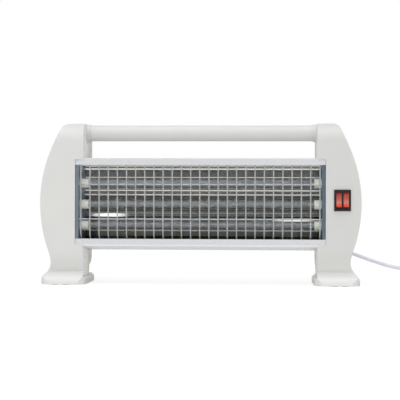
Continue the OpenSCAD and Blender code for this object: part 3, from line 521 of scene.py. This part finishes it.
def cheek_satin(name):
    """Bluish satin metal with upright streaks, with painted light making the left cheek lighter than the right."""
    m = Nodes(name)
    # Painted light on the left cheek, painted shade on the right
    side = m.span(m.axes()["X"], *CHEEK_PAINTED_LIGHT, 0.0, 1.0)
    streaks = m.spread(m.noise(60, 3, UPRIGHT), -0.15, 0.15)
    m.tint(m.calc("ADD", side, streaks), (0.44, 0.515, 0.60), (0.27, 0.355, 0.435), 0.0, 1.0)
    m.set(Metallic=0.72)
    m.rough(m.noise(102, 3, UPRIGHT), 0.38, 0.48)
    m.bump(m.noise(1800, 2, UPRIGHT), FINE_MARKS, 0.4)
    return m.material


def plated_wire(name):
    """Dull bright plating on drawn wire, with fine drawing marks and grey stains."""
    m = Nodes(name)
    m.tint(m.noise(260, 3), (0.50, 0.535, 0.56), (0.62, 0.66, 0.69))
    m.set(Metallic=0.35, Specular_IOR_Level=0.5)
    m.rough(m.noise(400, 2), 0.42, 0.58)
    m.bump(m.noise(2600, 2, (1, 1, 0.1)), 0.000008, 0.4)
    return m.material


def quartz_glass(name):
    """Fused quartz, slightly milky, with faint drawn lines along the tube."""
    m = Nodes(name)
    m.tint(m.noise(160, 3, (0.4, 1, 1)), srgb(196, 198, 200), srgb(226, 228, 230))
    m.set(Transmission_Weight=0.66, IOR=1.46, Specular_IOR_Level=0.6)
    m.rough(m.noise(90, 2, (0.2, 1, 1)), 0.22, 0.36)
    m.bump(m.noise(400, 2, (0.05, 1, 1)), 0.00001, 0.5)
    return m.material


def ceramic(name):
    """Unglazed cream ceramic."""
    m = Nodes(name)
    m.tint(m.noise(500, 4), srgb(250, 246, 230), srgb(255, 253, 243))
    m.set(Subsurface_Weight=0.2, Subsurface_Scale=0.002, Sheen_Weight=0.6, Sheen_Roughness=0.7)
    m.rough(m.noise(200), 0.55, 0.75)
    m.bump(m.noise(900, 3), 0.00006, 0.5)
    return m.material


# ---------- the slots' materials ----------

MATERIALS = {
    "white_plastic": cover_plastic("moulded_white", srgb(221, 221, 219)),
    "inner_plastic": inner_plate("moulded_inner"),
    "base_plastic": moulded("moulded_base", srgb(200, 200, 197), rough=0.5),
    "handle_plastic": moulded("handle_white", srgb(219, 219, 217), rough=0.4, grain=0.00001),
    "pad_rubber": soft_pvc("pad_rubber", srgb(206, 206, 203), rough=0.8),
    "fastener_steel": metal("zinc_plate", (0.62, 0.62, 0.64), 0.25, 0.42, scale=300),
    "powder_coat": powder_coat("powder_coat", srgb(218, 219, 222)),
    "reflector_sheet": polished_sheet("reflector_polish"),
    "cheek_sheet": cheek_satin("cheek_satin"),
    "grille_chrome": plated_wire("grille_plate"),
    "quartz": quartz_glass("quartz_glass"),
    "filament_wire": metal("resistance_wire", (0.34, 0.32, 0.30), 0.35, 0.5, scale=400),
    "ceramic": ceramic("steatite"),
    "spring_steel": metal("spring_steel", (0.60, 0.61, 0.63), 0.3, 0.42, scale=120),
    "terminal_brass": metal("terminal_brass", (0.74, 0.60, 0.32), 0.25, 0.4, scale=200),
    "lead_sleeve": soft_pvc("lead_sleeve", srgb(232, 230, 222), rough=0.7),
    "switch_black": moulded("switch_black", srgb(50, 47, 50), rough=0.38, mottle=0.05),
    "rocker_red": lens_red("rocker_red"),
    "device_black": moulded("device_black", srgb(44, 43, 44), rough=0.5, mottle=0.05),
    "plunger_red": moulded("plunger_red", srgb(200, 50, 40), rough=0.4),
    "block_white": moulded("block_white", srgb(226, 226, 222), rough=0.4),
    "cord_pvc": soft_pvc("cord_pvc", srgb(226, 226, 238)),
    "tie_black": soft_pvc("tie_black", srgb(50, 50, 54), rough=0.5),
    "plug_white": moulded("plug_white", srgb(224, 224, 232), rough=0.4),
    "pin_nickel": metal("pin_nickel", (0.78, 0.78, 0.76), 0.15, 0.28, scale=300),
}

SLOT_OF = {s["node"]: s["material_slot"] for s in frame["record"]["subparts"]}


def dress(obj, slot, smooth_below):
    """The material of a slot, and smooth shading between faces that meet at less than an angle in degrees."""
    mesh = obj.data
    mesh.materials.clear()
    mesh.materials.append(MATERIALS[slot])
    mesh.polygons.foreach_set("use_smooth", [True] * len(mesh.polygons))
    mesh.set_sharp_from_angle(angle=math.radians(smooth_below))


for node_name, node_object in NODES.items():
    dress(node_object, SLOT_OF[node_name], smooth_below=35)
dress(supply_cord, "cord_pvc", smooth_below=60)

# Radii of the hard edges that a mould leaves a little round, mm
SOFT_EDGES = {"switch_body": 0.7, "left_rocker": 0.4, "right_rocker": 0.4, "plug_body": 0.6}
HARD_EDGE = math.radians(50)

for node_name, radius in SOFT_EDGES.items():
    bevel = NODES[node_name].modifiers.new("soft_edges", "BEVEL")
    bevel.width, bevel.segments = radius * MM, 2
    bevel.limit_method, bevel.angle_limit = "ANGLE", HARD_EDGE
    bevel.harden_normals = True

# ---------- reflector, mm ----------

TUBE_Z = tuple((low[2] + high[2]) / 2 / MM for low, high in (
    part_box(level + "_quartz_tube") for level in ("upper", "middle", "lower")
))
FOLD_BACK = 29.5            # y of the backs of the troughs
FOLD_FRONT = 21.0           # y of the ridges
FOLD_WING = 23.5            # y where a wing ends
WING_FRONT = -42.8          # y where it starts, at the front
UPPER_WING = (187.0, 179.5)         # z of the upper wing, front and back
LOWER_WING = (64.0, 71.5)
TROUGH_FLAT, RIDGE_FLAT = 16.25, 5.5
SHEET_T = 0.6
SHEET_HALF = 184.2
SHEET_STATIONS = 150
FOLD_R = 1.7                # inner radius of the folds
FOLD_STEPS = 6
FOLD_SHARE = 0.45           # the most of a flat that an arc may take
WAVY_FROM, WAVY_OVER = 10.0, 10.0       # y where the sheet starts to wave, and how softly
WAVE_SHARE = 0.7            # how much of the wave is used


def folded_line():
    """The front of the folded sheet in (y, z), from the front of the upper wing down."""
    line = [(WING_FRONT, UPPER_WING[0]), (FOLD_WING, UPPER_WING[1])]
    for z, below in zip(TUBE_Z, TUBE_Z[1:] + (None,)):
        line += [(FOLD_BACK, z + TROUGH_FLAT / 2), (FOLD_BACK, z - TROUGH_FLAT / 2)]
        if below:
            mid = (z + below) / 2
            line += [(FOLD_FRONT, mid + RIDGE_FLAT / 2), (FOLD_FRONT, mid - RIDGE_FLAT / 2)]
    return line + [(FOLD_WING, LOWER_WING[1]), (WING_FRONT, LOWER_WING[0])]


def rounded_line(points, radius, steps):
    """The open line with an arc at each fold."""
    p = [Vector(q) for q in points]
    out = [p[0]]
    for before, at, after in zip(p, p[1:], p[2:]):
        a, b = (before - at).normalized(), (after - at).normalized()
        half = a.angle(b) / 2
        r = min(radius, FOLD_SHARE * min((before - at).length, (after - at).length) * math.tan(half))
        centre = at + (a + b).normalized() * r / math.sin(half)
        start, end = at + a * r / math.tan(half), at + b * r / math.tan(half)
        for k in range(steps + 1):
            ray = (start - centre).lerp(end - centre, k / steps)
            out.append(centre + ray.normalized() * r)
    return out + [p[-1]]


def sheet_wave(x, z):
    """How far the thin sheet stands off its plane, in mm."""
    return (0.10 * math.sin(x / 8.1 + z * 0.11) + 0.06 * math.sin(x / 3.7 - z * 0.23 + 1.3)
            + 0.12 * math.sin(x / 26.0 + z * 0.05 + 0.4))


def make_reflector():
    line = rounded_line(folded_line(), FOLD_R, FOLD_STEPS)
    away_from_tubes = [Vector((-along.y, along.x)) for along in directions(line)]
    bm = bmesh.new()
    rings = []
    for k in range(SHEET_STATIONS + 1):
        x = -SHEET_HALF + 2 * SHEET_HALF * k / SHEET_STATIONS
        front, back = [], []
        for at, away in zip(line, away_from_tubes):
            deep = max(0.0, min(1.0, (at.x - WAVY_FROM) / WAVY_OVER))
            p = at - away * (sheet_wave(x, at.y) * deep * WAVE_SHARE)
            q = p + away * SHEET_T
            front.append(bm.verts.new((x * MM, p.x * MM, p.y * MM)))
            back.append(bm.verts.new((x * MM, q.x * MM, q.y * MM)))
        rings.append(front + back[::-1])
    join_rings(bm, rings)
    sheet = new_piece("reflector_sheet", bm)
    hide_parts("reflector")
    dress(sheet, "reflector_sheet", smooth_below=50)
    return sheet


reflector_sheet = make_reflector()

# ---------- filament windings, mm ----------

WINDING_TURNS = 120
WINDING_STEPS = 14          # points in a turn
WINDING_WIRE = 0.8
WINDING_SIDES = 5
WINDING_INSET = 0.15        # inside the node's box
WINDING_END = 11.0          # straight lead at each end
WINDING_EASE = 3.0          # the part of the lead that slopes to the first turn
WINDING_GROW = 6            # points in which the first turn opens and the last one closes


def make_winding(node):
    """A close winding of resistance wire in place of the node's coarser one, in its box."""
    low, high = (Vector(c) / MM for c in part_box(node))
    mid = (low + high) / 2
    r = (high.z - low.z - WINDING_WIRE) / 2 - WINDING_INSET
    first, length = low.x + WINDING_END, high.x - low.x - 2 * WINDING_END
    points = [(low.x, mid.y, mid.z), (first - WINDING_EASE, mid.y, mid.z)]
    count = WINDING_TURNS * WINDING_STEPS
    for k in range(count + 1):
        a = math.tau * k / WINDING_STEPS
        grown = r * min(1.0, k / WINDING_GROW, (count - k) / WINDING_GROW)
        points.append((first + length * k / count, mid.y + grown * math.cos(a), mid.z + grown * math.sin(a)))
    points += [(high.x - WINDING_END + WINDING_EASE, mid.y, mid.z), (high.x, mid.y, mid.z)]
    piece = tube_piece(node + "_winding", points, WINDING_WIRE, WINDING_SIDES)
    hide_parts(node)
    dress(piece, "filament_wire", smooth_below=80)


for level in ("upper", "middle", "lower"):
    make_winding(level + "_filament")

# ---------- flares at the handle's ends, mm ----------

HANDLE_Z = 231.75           # of its axis
COLLAR_R = 13.4             # of the collars that it stands in
INNER_X = 177.0             # the inner plates' faces
FLARE_LEN = 5.0
FLARE_DOWN, FLARE_UP = 4.2, 0.25        # how far it reaches underneath and on top
FLARE_EVEN = 1.5            # how soon it reaches its most on the way down
FLARE_LIFT = 0.04           # off the collar
FLARE_SUNK = 0.3            # the closed inside, in the collar
FLARE_AROUND, FLARE_ALONG = 64, 8


def make_flare(side):
    """The soft fillet where a collar meets its plate. It is widest underneath, because the cover's top is near."""
    bm = bmesh.new()
    rings = []
    for k in range(FLARE_AROUND):
        a = math.tau * k / FLARE_AROUND
        down = 0.5 - 0.5 * math.sin(a)
        reach = FLARE_UP + (FLARE_DOWN - FLARE_UP) * min(1.0, down * FLARE_EVEN)
        ring = []
        for j in range(FLARE_ALONG + 1):
            t = j / FLARE_ALONG
            r = COLLAR_R + FLARE_LIFT + reach * (1 - math.sqrt(max(0.0, 1 - (1 - t) ** 2)))
            ring.append((INNER_X - FLARE_LEN * t, r))
        ring.append((INNER_X - FLARE_LEN, COLLAR_R - FLARE_SUNK))
        ring.append((INNER_X, COLLAR_R - FLARE_SUNK))
        rings.append([
            bm.verts.new((side * x * MM, r * math.cos(a) * MM, (HANDLE_Z + r * math.sin(a)) * MM)) for x, r in ring
        ])
    join_rings(bm, rings, closed=True)
    flare = new_piece(("left" if side < 0 else "right") + "_handle_flare", bm)
    dress(flare, "handle_plastic", smooth_below=50)


for side in (-1, 1):
    make_flare(side)

# ---------- floor, light and world ----------

FRONT_GLOSS = 0.13          # what metal sees of the unlit room in front of the heater
FLOOR_SIZE = 14.0           # m
FLOOR_GLOW = 0.80           # its own brightness to the camera
STRIP_STARTS, STRIP_ENDS = (-0.140, -0.130), (-0.100, -0.092)   # y of the lit strip of floor that metal sees, m
STRIP_WHITE = 0.95
FLOOR_BEHIND = (-0.02, 0.05)            # y over which the floor gets bright in gloss, m
BEHIND_WHITE = 0.9
ROOM_BEHIND, ROOM_ABOVE = (-0.35, 0.05), (0.35, 0.75)       # directions from which the room is white in gloss


class Look(Tree):
    """How a floor or world looks to each kind of ray, as a chain of mixed shaders."""

    def __init__(self, tree):
        super().__init__(tree)
        self.path = self.add("ShaderNodeLightPath")

    def step(self, value, zone, low, high):
        """Low before a zone and high after it, with a soft step in it."""
        return self.span(value, *zone, low, high, interpolation_type="SMOOTHSTEP")

    def ray(self, name):
        return self.path.outputs[f"Is {name} Ray"]

    def mixed(self, fac, other, seen):
        node = self.add("ShaderNodeMixShader")
        for socket, source in zip(node.inputs, (fac, other, seen)):
            self.link(source, socket)
        return node.outputs[0]

    def seen(self, plain, gloss, direct):
        """One look for matt surfaces, one for gloss, and one for the camera and what lies behind glass."""
        looks = self.mixed(self.ray("Glossy"), plain.outputs[0], gloss.outputs[0])
        straight = self.calc("MAXIMUM", self.ray("Camera"), self.ray("Transmission"))
        return self.mixed(straight, looks, direct.outputs[0])


def make_floor():
    data = bpy.data.meshes.new("floor")
    bm = bmesh.new()
    bmesh.ops.create_grid(bm, x_segments=2, y_segments=2, size=FLOOR_SIZE)
    bm.to_mesh(data)
    bm.free()
    floor = put("floor", data)
    m = Nodes("floor_white")
    m.set(Roughness=0.9, Specular_IOR_Level=0.1)
    m.tint(m.noise(4, 2), (0.87, 0.87, 0.86), (0.89, 0.89, 0.88))
    look = Look(m.tree)
    matt = look.add("ShaderNodeBsdfDiffuse", Color=(0.25, 0.25, 0.25, 1))
    glow = look.add("ShaderNodeEmission", Color=(1, 1, 1, 1), Strength=FLOOR_GLOW)
    lit = look.add("ShaderNodeAddShader")
    m.link(matt.outputs[0], lit.inputs[0])
    m.link(glow.outputs[0], lit.inputs[1])
    back = look.axes()["Y"]
    strip = look.calc("MINIMUM", look.step(back, STRIP_STARTS, FRONT_GLOSS, STRIP_WHITE),
                      look.step(back, STRIP_ENDS, STRIP_WHITE, FRONT_GLOSS))
    behind = look.step(back, FLOOR_BEHIND, FRONT_GLOSS, BEHIND_WHITE)
    gloss = look.add("ShaderNodeEmission", Color=(1, 1, 0.97, 1))
    m.link(look.calc("MAXIMUM", strip, behind), gloss.inputs["Strength"])
    m.link(look.seen(m.shader, gloss, lit), m.tree.nodes["Material Output"].inputs["Surface"])
    data.materials.append(m.material)


def make_world(ambient):
    """Even light for matt surfaces. Metal and gloss see a dim room in front, and white above and behind."""
    world = bpy.data.worlds.new("studio")
    bpy.context.scene.world = world
    world.use_nodes = True
    world.node_tree.nodes.clear()
    look = Look(world.node_tree)
    fill = look.add("ShaderNodeBackground", Color=(1.0, 1.0, 0.998, 1), Strength=ambient)
    white = look.add("ShaderNodeBackground", Color=(1, 1, 1, 1), Strength=1.0)
    room = look.add("ShaderNodeBackground", Color=(1, 1, 0.98, 1))
    towards = look.axes("Generated")
    behind = look.step(towards["Y"], ROOM_BEHIND, FRONT_GLOSS, 1.0)
    above = look.step(towards["Z"], ROOM_ABOVE, FRONT_GLOSS, 1.0)
    look.link(look.calc("MAXIMUM", behind, above), room.inputs["Strength"])
    out = look.add("ShaderNodeOutputWorld")
    look.link(look.seen(fill, room, white), out.inputs["Surface"])


def make_sun(name, strength, elevation, azimuth, angle, glossy=False):
    """A far lamp. The lamps in front don't show in gloss, because the room there is dim."""
    data = bpy.data.lights.new(name, "SUN")
    data.energy = strength * math.pi
    data.angle = math.radians(angle)
    lamp = put(name, data)
    e, a = math.radians(elevation), math.radians(azimuth)
    away = Vector((math.sin(a) * math.cos(e), -math.cos(a) * math.cos(e), math.sin(e)))
    lamp.rotation_euler = away.to_track_quat("Z", "Y").to_euler()
    lamp.visible_glossy = glossy
    return lamp


def light_only(lamp, pieces):
    """Keeps a lamp's light and shadows to some pieces."""
    group = bpy.data.collections.new(lamp.name + "_pieces")
    for piece in pieces:
        group.objects.link(piece)
    lamp.light_linking.receiver_collection = group
    lamp.light_linking.blocker_collection = group


make_floor()
make_world(ambient=0.50)
make_sun("front_panel", 0.32, elevation=9, azimuth=-2, angle=48)
make_sun("top_panel", 0.37, elevation=72, azimuth=-10, angle=50, glossy=True)
fold_light = make_sun("fold_light", 0.9, elevation=-12, azimuth=0, angle=10)
light_only(fold_light, [reflector_sheet])
cap_light = make_sun("cap_light", 0.12, elevation=-5, azimuth=0, angle=20)
light_only(cap_light, [NODES["left_ceramic_caps"], NODES["right_ceramic_caps"]])

bpy.context.scene.view_settings.view_transform = "Standard"
